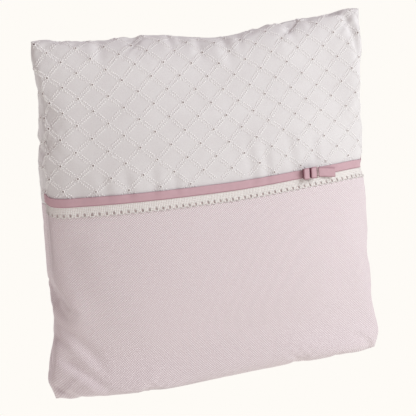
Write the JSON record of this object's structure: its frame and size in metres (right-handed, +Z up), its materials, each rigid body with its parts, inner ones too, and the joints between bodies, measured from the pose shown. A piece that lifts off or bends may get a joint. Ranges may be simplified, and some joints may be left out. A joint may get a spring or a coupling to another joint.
{
  "type": "ring bearer pillow",
  "caption": "Square two-tone cushion with eyelet embroidery above, pink pique below, a satin ribbon, lace trim and ring tie across the front, and a zipped back.",
  "frame": {"origin": "on the floor, under the middle of the standing cushion", "axes": "+Z up, the front with the ribbon and ring tie faces -Y, +X to the right as the front is seen"},
  "size_m": [0.24, 0.0645, 0.24],
  "materials": {
    "white_broderie": "matte",
    "pink_pique": "matte",
    "plain_cotton": "matte",
    "fibre": "matte",
    "satin_ribbon": "satin",
    "cotton_lace": "matte",
    "thread": "satin",
    "zip_tape": "matte",
    "zip_nylon": "satin",
    "zip_enamel": "satin"
  },
  "bodies": {
    "cushion": {"front_upper_panel": "white_broderie", "front_lower_panel": "pink_pique", "back_upper_panel": "white_broderie", "back_lower_panel": "pink_pique", "insert_casing_front": "plain_cotton", "insert_casing_back": "plain_cotton", "fibre_filling": "fibre", "satin_ribbon": "satin_ribbon", "lace_trim": "cotton_lace", "tie_pleat_left": "satin_ribbon", "tie_pleat_right": "satin_ribbon", "tie_bar_tack": "thread", "zip_tape_upper": "zip_tape", "zip_tape_lower": "zip_tape", "zip_coil_upper": "zip_nylon", "zip_coil_lower": "zip_nylon", "zip_top_stops": "zip_enamel", "zip_bottom_stop": "zip_enamel"},
    "zip_slider": {"zip_slider": "zip_enamel"},
    "zip_pull": {"zip_pull": "zip_enamel"},
    "tie_tail": {"tie_tail": "satin_ribbon"}
  },
  "joints": [
    {"name": "slider_run", "type": "hinge", "parent": "cushion", "child": "zip_slider", "pos_m": [0, -0.40046, 0.133], "axis": [0, 0, -1], "range_deg": [0, 18.05]},
    {"name": "pull_swing", "type": "hinge", "parent": "zip_slider", "child": "zip_pull", "pos_m": [-0.06808, 0.02745, 0.133], "axis": [0, 0, 1], "range_deg": [0, 170]},
    {"name": "tail_lift", "type": "hinge", "parent": "cushion", "child": "tie_tail", "pos_m": [0.07029, -0.02705, 0.134], "axis": [0, 0, -1], "range_deg": [0, 90]}
  ]
}
